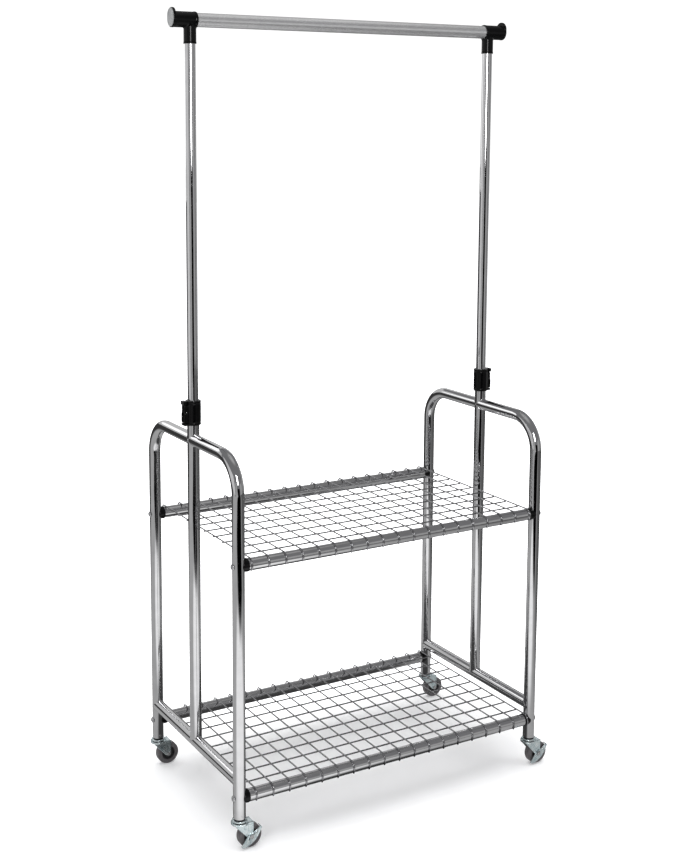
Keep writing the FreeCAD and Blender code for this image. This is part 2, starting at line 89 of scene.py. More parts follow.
CAP_FACE = high_mm("right_end_cap").x
FLANGE_RISE = 2 * (middle("right_end_cap").z - BAR_Z)
COLLAR_Z = low_mm("left_collar").z
WIRE_R = 1.6
WIRE_REACH = TUBE_R + 3.02
CROSS_WIRES = 19
LONG_WIRES = 9
WHEEL_Z = middle("front_left_axle").z
TRAIL = middle("front_left_axle").x + LEG_X
CORNERS = {"front_left": (-1, -1), "front_right": (1, -1),
           "rear_left": (-1, 1), "rear_right": (1, 1)}
BRAKED = ("front_left", "front_right")


# ---- node materials ----

class Nodes:
    """Short way to build a material's node tree."""

    def __init__(self, material):
        self.tree = material.node_tree
        self.tree.nodes.clear()
        self.coordinates = self.node("ShaderNodeTexCoord").outputs["Object"]

    def node(self, kind, **settings):
        made = self.tree.nodes.new(kind)
        for key, value in settings.items():
            setattr(made, key, value)
        return made

    def join(self, source, target):
        self.tree.links.new(source, target)

    def noise(self, scale, detail=3.0, roughness=0.55, stretch=(1, 1, 1)):
        mapping = self.node("ShaderNodeMapping")
        mapping.inputs["Scale"].default_value = stretch
        self.join(self.coordinates, mapping.inputs["Vector"])
        made = self.node("ShaderNodeTexNoise")
        made.inputs["Scale"].default_value = scale
        made.inputs["Detail"].default_value = detail
        made.inputs["Roughness"].default_value = roughness
        self.join(mapping.outputs["Vector"], made.inputs["Vector"])
        return made.outputs["Fac"]

    def offset(self, centre, scale):
        """Place from a centre, each axis scaled."""
        mapping = self.node("ShaderNodeMapping", vector_type="TEXTURE")
        mapping.inputs["Location"].default_value = centre
        self.join(self.coordinates, mapping.inputs["Vector"])
        squeeze = self.node("ShaderNodeVectorMath", operation="MULTIPLY")
        squeeze.inputs[1].default_value = scale
        self.join(mapping.outputs["Vector"], squeeze.inputs[0])
        return squeeze.outputs["Vector"]

    def length(self, vector):
        made = self.node("ShaderNodeVectorMath", operation="LENGTH")
        self.join(vector, made.inputs[0])
        return made.outputs["Value"]

    def reach(self, centre, scale):
        """Distance from a centre, each axis scaled."""
        return self.length(self.offset(centre, scale))

    def square_reach(self, centre, scale):
        """Distance from a centre that grows in rounded rectangles, each axis scaled."""
        offset = self.offset(centre, scale)
        squared = self.node("ShaderNodeVectorMath", operation="MULTIPLY")
        self.join(offset, squared.inputs[0])
        self.join(offset, squared.inputs[1])
        root = self.node("ShaderNodeMath", operation="SQRT")
        self.join(self.length(squared.outputs["Vector"]), root.inputs[0])
        return root.outputs["Value"]

    def math(self, operation, first, second):
        made = self.node("ShaderNodeMath", operation=operation)
        self.join(first, made.inputs[0])
        self.join(second, made.inputs[1])
        return made.outputs["Value"]

    def spread(self, value, low, high, start=0.3, end=0.7):
        made = self.node("ShaderNodeMapRange", interpolation_type="SMOOTHSTEP")
        made.inputs["From Min"].default_value = start
        made.inputs["From Max"].default_value = end
        made.inputs["To Min"].default_value = low
        made.inputs["To Max"].default_value = high
        self.join(value, made.inputs["Value"])
        return made.outputs["Result"]

    def tint(self, value, stops):
        made = self.node("ShaderNodeValToRGB")
        ramp = made.color_ramp
        for element, (position, colour) in zip(ramp.elements, (stops[0], stops[-1])):
            element.position = position
            element.color = (*colour, 1)
        for position, colour in stops[1:-1]:
            ramp.elements.new(position).color = (*colour, 1)
        self.join(value, made.inputs["Fac"])
        return made.outputs["Color"]

    def bump(self, height, strength, distance, under=None):
        made = self.node("ShaderNodeBump")
        made.inputs["Strength"].default_value = strength
        made.inputs["Distance"].default_value = distance
        self.join(height, made.inputs["Height"])
        if under is not None:
            self.join(under, made.inputs["Normal"])
        return made.outputs["Normal"]

    def finish(self, colour, roughness, normal, metallic=0.0, **plain):
        shader = self.node("ShaderNodeBsdfPrincipled")
        shader.inputs["Metallic"].default_value = metallic
        for key, value in plain.items():
            shader.inputs[key.replace("_", " ")].default_value = value
        self.join(colour, shader.inputs["Base Color"])
        self.join(roughness, shader.inputs["Roughness"])
        self.join(normal, shader.inputs["Normal"])
        self.show(shader.outputs["BSDF"])

    def glow(self, strength, colour=(1, 1, 1)):
        """Emission whose strength is a number or another node's output."""
        made = self.node("ShaderNodeEmission")
        made.inputs["Color"].default_value = (*colour, 1)
        if isinstance(strength, float):
            made.inputs["Strength"].default_value = strength
        else:
            self.join(strength, made.inputs["Strength"])
        return made.outputs["Emission"]

    def show(self, surface):
        self.join(surface, self.node("ShaderNodeOutputMaterial").inputs["Surface"])


def new_material(name):
    material = bpy.data.materials.new(name)
    material.use_nodes = True
    return material, Nodes(material)


def chrome_material(name, bright, dull, polish, haze, wave, peel_depth, shine=1.0):
    """Plated steel: slow waviness, fine orange peel, faint hazy patches."""
    material, n = new_material(name)
    patches = n.noise(38.0, detail=4.0)
    peel = n.noise(1400.0, detail=2.0)
    slow = n.noise(17.0, detail=1.0, stretch=(1, 1, 0.35))
    colour = n.tint(patches, [(0.25, dull), (0.75, bright)])
    roughness = n.spread(n.noise(95.0, detail=5.0, roughness=0.7), polish, haze)
    waviness = n.bump(slow, 0.5, wave)
    normal = n.bump(peel, 0.35, peel_depth, waviness)
    n.finish(colour, roughness, normal, metallic=shine)
    return material


def zinc_material():
    """Blue passivated zinc: cloudy tint, slightly matt, with fine grain."""
    material, n = new_material("zinc_plating")
    clouds = n.noise(150.0, detail=4.0, roughness=0.6, stretch=(1.0, 1.0, 0.5))
    colour = n.tint(clouds, [(0.32, (0.46, 0.56, 0.59)), (0.5, (0.68, 0.77, 0.79)),
                             (0.68, (0.84, 0.90, 0.90))])
    roughness = n.spread(n.noise(420.0, detail=4.0), 0.07, 0.16)
    normal = n.bump(n.noise(900.0, detail=3.0), 0.2, 0.00001, n.bump(clouds, 0.2, 0.00004))
    n.finish(colour, roughness, normal, metallic=0.92)
    return material


def fastener_material():
    """Dull bright steel with stains."""
    material, n = new_material("fastener_steel")
    stain = n.noise(500.0, detail=4.0)
    colour = n.tint(stain, [(0.3, (0.45, 0.45, 0.46)), (0.7, (0.66, 0.66, 0.67))])
    roughness = n.spread(n.noise(900.0, detail=3.0), 0.16, 0.34)
    n.finish(colour, roughness, n.bump(stain, 0.4, 0.00005), metallic=1.0)
    return material


def moulded_material(name, deep, worn, smooth, rough, grain_scale, grain, level=0.5):
    """Moulded plastic: fine spark-eroded grain, faint flow marks and handled patches."""
    material, n = new_material(name)
    flow = n.noise(60.0, detail=4.0, stretch=(1, 1, 0.4))
    colour = n.tint(flow, [(0.3, deep), (0.75, worn)])
    roughness = n.spread(n.noise(210.0, detail=5.0), smooth, rough)
    texture = n.bump(n.noise(grain_scale, detail=2.0), 0.5, grain)
    n.finish(colour, roughness, n.bump(flow, 0.2, 0.0001, texture), Specular_IOR_Level=level)
    return material


def rubber_material():
    """Grey rubber: chalky bloom, dust and a dull grain."""
    material, n = new_material("tyre_rubber")
    bloom = n.noise(130.0, detail=6.0, roughness=0.7)
    colour = n.tint(bloom, [(0.28, (0.060, 0.055, 0.058)), (0.55, (0.084, 0.077, 0.081)),
                            (0.8, (0.125, 0.116, 0.120))])
    roughness = n.spread(n.noise(600.0, detail=4.0), 0.52, 0.78)
    normal = n.bump(n.noise(1500.0, detail=3.0), 0.6, 0.00008, n.bump(bloom, 0.3, 0.0003))
    n.finish(colour, roughness, normal, Sheen_Weight=0.12, Sheen_Roughness=0.6)
    return material


CHROME = chrome_material("chrome_tube", (0.70, 0.70, 0.71), (0.62, 0.62, 0.63), polish=0.03,
                         haze=0.085, wave=0.0005, peel_depth=0.000008)
BAR_CHROME = chrome_material("chrome_bar", (0.80, 0.80, 0.80), (0.75, 0.75, 0.76), polish=0.16,
                             haze=0.26, wave=0.0001, peel_depth=0.000004, shine=0.88)
WIRE_CHROME = chrome_material("chrome_wire", (0.42, 0.42, 0.43), (0.31, 0.31, 0.32), polish=0.08,
                              haze=0.18, wave=0.0002, peel_depth=0.00002)
ZINC = zinc_material()
STEEL = fastener_material()
BLACK = moulded_material("black_plastic", (0.001, 0.001, 0.0011), (0.002, 0.002, 0.0022),
                         smooth=0.1, rough=0.18, grain_scale=2600.0, grain=0.000004, level=0.2)
GREY = moulded_material("grey_plastic", (0.17, 0.175, 0.177), (0.24, 0.245, 0.247),
                        smooth=0.2, rough=0.36, grain_scale=2200.0, grain=0.00004)
HUB_BLACK = moulded_material("hub_plastic", (0.010, 0.010, 0.011), (0.020, 0.020, 0.021),
                             smooth=0.38, rough=0.58, grain_scale=1800.0, grain=0.00005)
RUBBER = rubber_material()


# ---- mesh builders ----

class Solid:
    """Vertices and faces in millimetres, which can be joined, moved and mirrored."""

    def __init__(self, points=None, faces=None):
        self.points = np.zeros((0, 3)) if points is None else np.asarray(points, float)
        self.faces = [] if faces is None else [tuple(f) for f in faces]

    def add(self, other):
        shift = len(self.points)
        self.points = np.vstack([self.points, other.points])
        self.faces += [tuple(i + shift for i in f) for f in other.faces]

    def moved(self, x=0.0, y=0.0, z=0.0):
        return Solid(self.points + [x, y, z], self.faces)

    def flipped(self, axis):
        points = self.points.copy()
        points[:, axis] *= -1
        return Solid(points, [tuple(reversed(f)) for f in self.faces])

    def turned(self, columns):
        """The same solid with its axes along three given directions."""
        return Solid(self.points @ np.array(columns, float), self.faces)


def joined(solids):
    whole = Solid()
    for solid in solids:
        whole.add(solid)
    return whole


def place(solid, name, material, body, nodes, slot, sharp_deg=38.0):
    """Make the piece, put it on its CAD body and let it stand for its CAD nodes."""
    mesh = bpy.data.meshes.new(name)
    mesh.from_pydata((solid.points * MM).tolist(), [], solid.faces)
    mesh.validate()
    mesh.materials.append(material)
    mesh.shade_smooth()
    mesh.set_sharp_from_angle(angle=math.radians(sharp_deg))
    piece = bpy.data.objects.new(name, mesh)
    bpy.context.scene.collection.objects.link(piece)
    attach(piece, body)
    if nodes:
        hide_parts(*nodes)


def circle_points(sides):
    """Cosines and sines of evenly spaced angles round a circle."""
    turn = 2 * np.pi * np.arange(sides) / sides
    return np.cos(turn), np.sin(turn)


def rings(loops, closed_ends=(True, True)):
    """Skin a list of equal rings of points."""
    count, sides = len(loops), len(loops[0])
    points = np.concatenate(loops)
    faces = []
    for i in range(count - 1):
        a, b = i * sides, (i + 1) * sides
        faces += [(a + j, a + (j + 1) % sides, b + (j + 1) % sides, b + j)
                  for j in range(sides)]
    if closed_ends[0]:
        faces.append(tuple(reversed(range(sides))))
    if closed_ends[1]:
        faces.append(tuple(range((count - 1) * sides, count * sides)))
    return Solid(points, faces)


def lathe(profile, sides, closed_ends=(True, True)):
    """Turn (radius, height) pairs about Z, going up outside."""
    circle = np.stack([*circle_points(sides), np.zeros(sides)], 1)
    return rings([circle * r + [0, 0, z] for r, z in profile], closed_ends)


def along_x(solid):
    """Z axis of a turned piece laid along +X."""
    return solid.turned([(0, 1, 0), (0, 0, 1), (1, 0, 0)])


def along_y(solid):
    """Z axis of a turned piece laid along +Y."""
    return solid.turned([(0, 0, 1), (1, 0, 0), (0, 1, 0)])


def arc(centre, radius, start_deg, end_deg, steps):
    """Points on an arc across X, its angle running from +Y towards +Z."""
    angles = np.radians(np.linspace(start_deg, end_deg, steps + 1))
    return [np.array(centre, float) + radius * np.array((0, math.cos(a), math.sin(a)))
            for a in angles]


def dome(loop, centre, outward, height):
    """Shrinking rings that round off the end of a rod."""
    angles = np.radians((25.0, 50.0, 72.0))
    return [centre + (loop - centre) * math.cos(a) + outward * height * math.sin(a)
            for a in angles]


def pipe(path, radius, sides, domed=0.0):
    """Sweep a circle along a path without twisting it. Its ends are open, or domes of a height."""
    path = np.array(path, float)
    steps = np.diff(path, axis=0)
    steps /= np.linalg.norm(steps, axis=1)[:, None]
    heading = np.vstack([steps[:1], steps[:-1] + steps[1:], steps[-1:]])
    heading /= np.linalg.norm(heading, axis=1)[:, None]
    side = np.cross(heading[0], [1.0, 0, 0] if abs(heading[0][0]) < 0.8 else [0, 1.0, 0])
    cosines, sines = circle_points(sides)
    loops = []
    for point, ahead in zip(path, heading):
        side = side - ahead * (side @ ahead)
        side /= np.linalg.norm(side)
        other = np.cross(ahead, side)
        loops.append(point + radius * (np.outer(cosines, side) + np.outer(sines, other)))
    if domed:
        loops = dome(loops[0], path[0], -heading[0], domed)[::-1] + loops
        loops += dome(loops[-1], path[-1], heading[-1], domed)
    return rings(loops, (domed > 0, domed > 0))


BORE_SHOWN = 6.0


def tube(path, radius, wall, sides=64, cope_start=None, cope_end=None):
    """Hollow tube along a path.

    A cope bends an end's ring on to a crossing tube. A square end shows its wall and some bore.
    """
    path = [np.array(p, float) for p in path]
    solid = pipe(path, radius, sides)
    first, last = slice(0, sides), slice(len(solid.points) - sides, len(solid.points))
    for at, cope, before, end in ((first, cope_start, path[1], path[0]),
                                  (last, cope_end, path[-2], path[-1])):
        rim = solid.points[at]
        if cope is not None:
            solid.points[at] = cope(rim)
            continue
        outward = (end - before) / np.linalg.norm(end - before)
        share = (radius - wall) / radius
        bore = end + (rim - end) * share
        rounded = end + (rim - end) * (share + 1) / 2 + outward * wall * 0.25
        inside = rings([rim, rounded, bore, bore - outward * BORE_SHOWN], (False, False))
        if at != last:
            inside.faces = [tuple(reversed(f)) for f in inside.faces]
        solid.add(inside)
    return solid


# ---- moulded and pressed shapes: rounded solids given by distance, in millimetres ----

def soft_union(a, b, k):
    h = np.clip(0.5 + 0.5 * (b - a) / k, 0, 1)
    return b + (a - b) * h - k * h * (1 - h)


def soft_cut(a, b, k):
    return -soft_union(-a, b, k)


def rounded_edge(a, b):
    """Distance to the edge where two faces at distances a and b meet."""
    return np.minimum(np.maximum(a, b), 0) + np.hypot(np.maximum(a, 0), np.maximum(b, 0))


def disc(radial, along, radius, half, rounding):
    """Round bar with rounded rims."""
    a, b = radial - radius + rounding, np.abs(along) - half + rounding
    return rounded_edge(a, b) - rounding


def brick(x, y, z, half, rounding):
    """Box with rounded edges."""
    a, b, c = (np.abs(v) - h + rounding for v, h in zip((x, y, z), half))
    outside = np.sqrt(sum(np.maximum(v, 0) ** 2 for v in (a, b, c)))
    return outside + np.minimum(np.maximum(np.maximum(a, b), c), 0) - rounding


def plate(u, v, w, outline, half, rounding):
    """Flat outline in u and v, thickened along w, with rounded edges."""
    near = np.full(u.shape, 1e9)
    inside = np.zeros(u.shape, bool)
    for (u0, v0), (u1, v1) in zip(outline, outline[1:] + outline[:1]):
        du, dv = u1 - u0, v1 - v0
        t = np.clip(((u - u0) * du + (v - v0) * dv) / (du * du + dv * dv), 0, 1)
        near = np.minimum(near, np.hypot(u - u0 - t * du, v - v0 - t * dv))
        crosses = (v0 > v) != (v1 > v)
        inside ^= crosses & (u < u0 + du * (v - v0) / (dv if dv else 1e-9))
    flat = np.where(inside, -near, near)
    return rounded_edge(flat + rounding, np.abs(w) - half + rounding) - rounding


def cell_corner_counts(inside):
    """How many of each cell's eight corners are inside."""
    cuts = [slice(None, -1), slice(1, None)]
    return sum(inside[c].astype(int) for c in itertools.product(cuts, repeat=3))


RELAX_ROUNDS = 5
RELAX_SHARE = 0.6


def shaped(field, low, high, cell):
    """Closed mesh of the surface where field(x, y, z) is zero, evened out on that surface."""
    axes = [np.arange(l, h + cell, cell) for l, h in zip(low, high)]
    inside = field(*np.meshgrid(*axes, indexing="ij")) < 0
    count = cell_corner_counts(inside)
    active = (count > 0) & (count < 8)
    index = np.full(active.shape, -1)
    index[active] = np.arange(active.sum())
    points = np.argwhere(active) * cell + np.array(low) + cell / 2
    quads = []
    for axis in range(3):
        a = np.moveaxis(inside, axis, 0)
        cells = np.moveaxis(index, axis, 0)
        change = a[:-1, 1:-1, 1:-1] != a[1:, 1:-1, 1:-1]
        ring = np.stack([cells[:, :-1, :-1][change], cells[:, 1:, :-1][change],
                         cells[:, 1:, 1:][change], cells[:, :-1, 1:][change]], 1)
        outward = a[:-1, 1:-1, 1:-1][change]
        if axis == 1:
            outward = ~outward
        quads.append(np.where(outward[:, None], ring, ring[:, ::-1]))
    quads = np.concatenate(quads)
    neighbours = np.concatenate([quads[:, [i, (i + 1) % 4]] for i in range(4)])
    for _ in range(RELAX_ROUNDS):
        total, number = np.zeros_like(points), np.zeros(len(points))
        for near, far in ((0, 1), (1, 0)):
            np.add.at(total, neighbours[:, near], points[neighbours[:, far]])
            np.add.at(number, neighbours[:, near], 1)
        points = (1 - RELAX_SHARE) * points + RELAX_SHARE * total / number[:, None]
        for _ in range(2):
            points = settled(field, points, cell)
    return Solid(points, quads.tolist())


def settled(field, points, cell):
    """Points stepped on to the zero surface along its gradient."""
    small = 0.15 * cell
    value = field(*points.T)
    rises = [field(*(points + small * e).T) - field(*(points - small * e).T) for e in np.eye(3)]
    slope = np.stack(rises, 1) / (2 * small)
    step = value[:, None] * slope / np.maximum((slope ** 2).sum(1), 0.2)[:, None]
    return points - np.clip(step, -0.7 * cell, 0.7 * cell)


# ---- end frames ----

def surface_reach(loop):
    """How far a crossing tube's surface lies from its axis, at each point of a ring."""
    across = loop[:, 0] - math.copysign(LEG_X, loop[0, 0])
    return np.sqrt(np.maximum(TUBE_R ** 2 - across ** 2, 0.01))


def on_upright(loop):
    """Cope of a level tube along Y on to the upright."""
    loop = loop.copy()
    loop[:, 1] = math.copysign(1, loop[:, 1].mean()) * surface_reach(loop)
    return loop


def on_leg(loop):
    """Cope of the crossbar on to a leg."""
    loop = loop.copy()
    loop[:, 1] = math.copysign(1, loop[:, 1].mean()) * (LEG_Y - surface_reach(loop))
    return loop


def on_crossbar(loop):
    """Cope of the upright's foot on to the crossbar."""
    loop = loop.copy()
    loop[:, 2] = CROSSBAR_Z + surface_reach(loop)
    return loop


WELD_R = 0.75
WELD_LIFT = 0.2
WELD_STEPS = 72


def weld(x, curve):
    """Rippled bead that closes a coped joint; curve gives its y and z from an angle."""
    points = []
    for i in range(WELD_STEPS + 1):
        a = 2 * math.pi * i / WELD_STEPS
        ripple = 1 + 0.006 * math.sin(17 * a) + 0.004 * math.sin(29 * a + 1.0)
        points.append((x + TUBE_R * math.sin(a) * ripple, *curve(a)))
    return pipe(points, WELD_R, 10)


def end_frames():
    """Both ends: a hoop in two halves, the upright, the lower crossbar and the weld beads."""
    bend_z, bend_y = HOOP_Z - HOOP_BEND_R, LEG_Y - HOOP_BEND_R
    welds = []
    for corner, (side_x, side_y) in CORNERS.items():
        x = side_x * LEG_X
        path = [(x, LEG_Y, LEG_BOTTOM), (x, LEG_Y, bend_z - 8)]
        path += arc((x, bend_y, bend_z), HOOP_BEND_R, 0, 90, HOOP_BEND_STEPS)
        path += [(x, bend_y - 6, HOOP_Z), (x, TUBE_R + 6, HOOP_Z), (x, TUBE_R / 2, HOOP_Z)]
        path = [(px, side_y * py, pz) for px, py, pz in path]
        leg = tube(path, TUBE_R, TUBE_WALL, cope_end=on_upright)
        place(leg, corner + "_leg_tube", CHROME, "frame", [corner + "_leg"], "chrome_tube")
        welds.append(weld(x, lambda a: (side_y * (WELD_LIFT + TUBE_R * abs(math.cos(a))),
                                        HOOP_Z + TUBE_R * math.cos(a))))
        welds.append(weld(x, lambda a: (side_y * (LEG_Y - WELD_LIFT - TUBE_R * abs(math.cos(a))),
                                        CROSSBAR_Z + TUBE_R * math.cos(a))))
    end = LEG_Y - TUBE_R / 2
    for side, name in ((-1, "left"), (1, "right")):
        x = side * LEG_X
        heights = (CROSSBAR_Z + TUBE_R / 2, CROSSBAR_Z + TUBE_R + 6, UPRIGHT_TOP)
        post = tube([(x, 0, z) for z in heights], TUBE_R, TUBE_WALL, cope_start=on_crossbar)
        place(post, name + "_upright_tube", CHROME, "frame", [name + "_upright"], "chrome_tube")
        low_bar = tube([(x, y, CROSSBAR_Z) for y in (-end, -end + 14, end - 14, end)],
                       TUBE_R, TUBE_WALL, cope_start=on_leg, cope_end=on_leg)
        place(low_bar, name + "_crossbar_tube", CHROME, "frame", [name + "_crossbar"],
              "chrome_tube")
        welds.append(weld(x, lambda a: (TUBE_R * math.cos(a),
                                        CROSSBAR_Z + WELD_LIFT + TUBE_R * abs(math.cos(a)))))
    place(joined(welds), "welds", CHROME, "frame", [], "chrome_tube", 80)


# ---- rails, caps and bolts ----

CAP_FIT = 0.05
CAP_LIP = 3.2
CAP_PLUG = 2.0
CAP_HOLE_R = 6.0


def saddle_cap():
    """Cap at the +X end of a rail on the X axis, its saddle round the leg."""
    sides = 72
    y, z = circle_points(sides)

    def ring(x, radius):
        return np.stack([np.broadcast_to(x, (sides,)), radius * y, radius * z], 1)

    def saddle(radius, least):
        leg_r = TUBE_R + CAP_FIT
        return LEG_X - np.sqrt(np.maximum(leg_r ** 2 - (radius * y) ** 2, least ** 2))

    lip, outer = RAIL_END_X - CAP_LIP, saddle(TUBE_R, 3.5)
    loops = [ring(RAIL_END_X - CAP_PLUG, TUBE_BORE_R - CAP_FIT),
             ring(RAIL_END_X + 0.03, TUBE_BORE_R - CAP_FIT),
             ring(RAIL_END_X + 0.03, TUBE_R + CAP_FIT), ring(lip, TUBE_R + CAP_FIT)]
    bulge = ((0.0, 0.3), (0.06, 0.65), (0.2, 0.9), (0.4, 1.0), (0.55, 0.75), (0.75, 0.85),
             (0.9, 0.4), (1.0, -0.5))
    loops += [ring(lip + share * (outer - lip), TUBE_R + swell) for share, swell in bulge]
    loops.append(ring(saddle(CAP_HOLE_R, 1.0), CAP_HOLE_R))
    return rings(loops)


def button_bolt():
    """Domed head with a hexagon socket, along +X from the seat at 0."""
    sides = 48
    circle = np.stack(circle_points(sides), 1)
    turn = 2 * np.pi * np.arange(sides) / sides
    sector = (turn + math.pi / 6) % (math.pi / 3) - math.pi / 6
    hexagon = circle / np.cos(sector)[:, None]
    head = [(6.5, 0.0), (6.5, 0.35), (6.25, 0.9), (5.6, 1.75), (4.7, 2.55), (3.7, 3.1), (2.9, 3.35)]
    socket = [(2.65, 3.35, 0.4), (2.1, 3.15, 1), (2.0, 2.9, 1), (1.95, 1.5, 1), (1.0, 1.3, 0.3)]
    loops = []
    for radius, x, share in [(radius, x, 0) for radius, x in head] + socket:
        flat = radius * ((1 - share) * circle + share * hexagon)
        loops.append(np.column_stack([np.full(sides, x), flat]))
    return rings(loops)


def rails():
    """Both levels' rails with a saddle cap at each end, and the bolts through the legs."""
    cap, bolt = saddle_cap(), button_bolt()
    bolts = []
    for level, z in RAIL_Z.items():
        caps = []
        for side_y, row in ((-1, "front"), (1, "rear")):
            y = side_y * LEG_Y
            rail = tube([(-RAIL_END_X, y, z), (RAIL_END_X, y, z)], TUBE_R, TUBE_WALL)
            name = level + "_" + row + "_rail"
            place(rail, name + "_tube", CHROME, "frame", [name], "chrome_tube")
            right = cap.moved(y=y, z=z)
            caps += [right, right.flipped(0)]
            head = bolt.moved(LEG_X + TUBE_R + 0.02, y, z)
            bolts += [head, head.flipped(0)]
        place(joined(caps), level + "_saddle_caps", BLACK, "frame", [level + "_rail_caps"],
              "black_plastic")
    place(joined(bolts), "bolt_heads", STEEL, "frame", ["rail_bolts"], "fastener", 30)


# ---- wire shelves ----

WIRE_SIDES = 14
WIRE_DOME = 0.9
HOOK_END_DEG = 221
REAR_BEND_R = 8
REAR_DROP = 17.5


def blob(x, y, z, size):
    """Small flattened weld nugget."""
    ball = lathe([(math.cos(a), math.sin(a)) for a in np.radians((-70, -30, 15, 50, 75))], 8)
    return Solid(ball.points * size + [x, y, z], ball.faces)


def shelf(level):
    """Wires from front to rear over both rails, wires lengthways under them, and their welds."""
    z = RAIL_Z[level]
    low, high = low_mm(level + "_cross_wires"), high_mm(level + "_cross_wires")
    long_low, long_high = low_mm(level + "_long_wires"), high_mm(level + "_long_wires")
    hook_r = WIRE_REACH - WIRE_R
    top = z + hook_r
    xs = np.linspace(low.x + WIRE_R, high.x - WIRE_R, CROSS_WIRES)
    ys = np.linspace(long_low.y + WIRE_R, long_high.y - WIRE_R, LONG_WIRES)
    path = arc((0, -LEG_Y, z), hook_r, HOOK_END_DEG, 90, 18)
    path += arc((0, LEG_Y + hook_r - REAR_BEND_R, top - REAR_BEND_R), REAR_BEND_R, 90, 0, 7)
    path.append((0, LEG_Y + hook_r, top - REAR_DROP))
    wire = pipe(path, WIRE_R, WIRE_SIDES, WIRE_DOME)
    lying = long_high.z - WIRE_R
    line_xs = (long_low.x + 0.6, 0, long_high.x - 0.6)
    lines = [pipe([(x, y, lying) for x in line_xs], WIRE_R, WIRE_SIDES, WIRE_DOME) for y in ys]
    for way, wires in (("cross", [wire.moved(x=x) for x in xs]), ("long", lines)):
        place(joined(wires), f"{level}_{way}_wire_mesh", WIRE_CHROME, "frame",
              [f"{level}_{way}_wires"], "chrome_wire", 60)
    nuggets = [blob(x, y, top - WIRE_R, (1.85, 1.85, 1.0)) for x in xs for y in ys]
    nuggets += [blob(x, side * LEG_Y, top - WIRE_R - 0.25, (1.95, 3.4, 0.9))
                for x in xs for side in (-1, 1)]
    place(joined(nuggets), level + "_wire_welds", WIRE_CHROME, "frame", [], "chrome_wire", 80)


# ---- mast ----

SLIDE_FIT = 0.08


def tee_field(x, y, z):
    """Right-hand tee, z from the bar's axis: a sleeve with a collar and a flange, and a socket."""
    around_bar = np.hypot(y, z)
    around_post = np.hypot(x - LEG_X, y)
    around_flange = np.hypot(y, z - np.clip(z, 0, FLANGE_RISE))
    drop = BAR_Z - TEE_BOTTOM
    sleeve_half = (FLANGE_X - TEE_INNER_X) / 2
    body = disc(around_bar, x - (TEE_INNER_X + FLANGE_X) / 2, 15.75, sleeve_half, 1.2)
    body = soft_union(body, disc(around_bar, x - TEE_INNER_X - 2.6, 16.25, 2.6, 1.2), 1.0)
    body = soft_union(body, disc(around_flange, x - FLANGE_X + 2.5, 15.89, 2.5, 0.9), 1.4)
    body = soft_union(body, disc(around_post, z + drop / 2, 12.8, drop / 2, 0.8), 3.2)
    body = soft_union(body, disc(around_post, z + drop - 1.6, 13.1, 1.6, 0.8), 1.0)
    body = soft_cut(body, around_bar - BAR_R - SLIDE_FIT, 0.5)
    return soft_cut(body, np.maximum(around_post - INNER_R - SLIDE_FIT, z + 10), 0.5)


def end_disc():
    """Oblong plate over a tee's flange, its face slightly dished, along +X from the bar's axis."""
    face, back = CAP_FACE, FLANGE_X
    radius = high_mm("right_end_cap").y
    profile = [(9.0, back - 0.6), (9.2, back), (radius - 0.4, back), (radius, back + 0.3),
               (radius, face - 0.45), (radius - 0.15, face - 0.12), (radius - 0.6, face),
               (radius - 2.6, face - 0.05), (radius - 3.0, face - 0.35), (9.0, face - 0.45),
               (3.0, face - 0.5), (0.6, face - 0.5)]
    plate_solid = along_x(lathe(profile, 96))
    plate_solid.points[:, 2] += np.where(plate_solid.points[:, 2] > -1e-6, FLANGE_RISE, 0)
    return plate_solid


def mast():
    """What slides: two inner tubes, two tees with end discs, and the bar."""
    low, high = low_mm("left_inner_tube").z, high_mm("left_inner_tube").z
    tee = shaped(tee_field, (351, -21, -49), (409.5, 21, 25), 0.8).moved(z=BAR_Z)
    cap = end_disc().moved(z=BAR_Z)
    for side, name in ((-1, "left"), (1, "right")):
        pole = tube([(side * LEG_X, 0, low), (side * LEG_X, 0, high)], INNER_R, INNER_WALL)
        place(pole, name + "_inner_pole", CHROME, "mast", [name + "_inner_tube"], "chrome_tube")
        fitting = tee if side > 0 else tee.flipped(0)
        place(fitting, name + "_tee_moulding", BLACK, "mast", [name + "_tee"], "black_plastic", 60)
        face = cap if side > 0 else cap.flipped(0)
        place(face, name + "_end_disc", GREY, "mast", [name + "_end_cap"], "grey_cap", 30)
    bar = tube([(x, 0, BAR_Z) for x in (-BAR_END, 0, BAR_END)], BAR_R, TUBE_WALL, 80)
    place(bar, "hanging_bar_tube", BAR_CHROME, "mast", ["hanging_bar"], "chrome_tube")


# ---- clamp collars ----

PIVOT = (18.5, 28.0)
LEVER_HALF = 5.0
HOUSING_GAP = LEVER_HALF + 0.25


def collar_field(x, y, z):
    """Collar round the origin, housing towards +X, z from its foot."""
    around = np.hypot(x, y)
    body = disc(around, z - 25.5, 16.0, 25.5, 1.5)
    body = soft_union(body, brick(x - 11.75, y, z - 12.8, (11.75, 8.0, 12.8), 1.6), 1.6)
    body = soft_union(body, brick(x - 11.25, y, z - 21.0, (11.25, 8.0, 21.0), 1.6), 1.6)
    for height in (5.5, 45.5):
        body = soft_cut(body, np.maximum(15.4 - around, np.abs(z - height) - 0.7), 0.5)
    slot = brick(x - 36.3, y, z - 53.0, (20.0, HOUSING_GAP, 25.0), 0.3)
    pocket = np.maximum(np.hypot(x - PIVOT[0], z - PIVOT[1]) - 7.5, np.abs(y) - HOUSING_GAP)
    body = soft_cut(soft_cut(body, slot, 0.8), pocket, 0.5)
    body = soft_cut(body, np.maximum(around - TUBE_R - 0.06, z - 20), 0.6)
    return soft_cut(body, around - INNER_R - 0.12, 0.6)


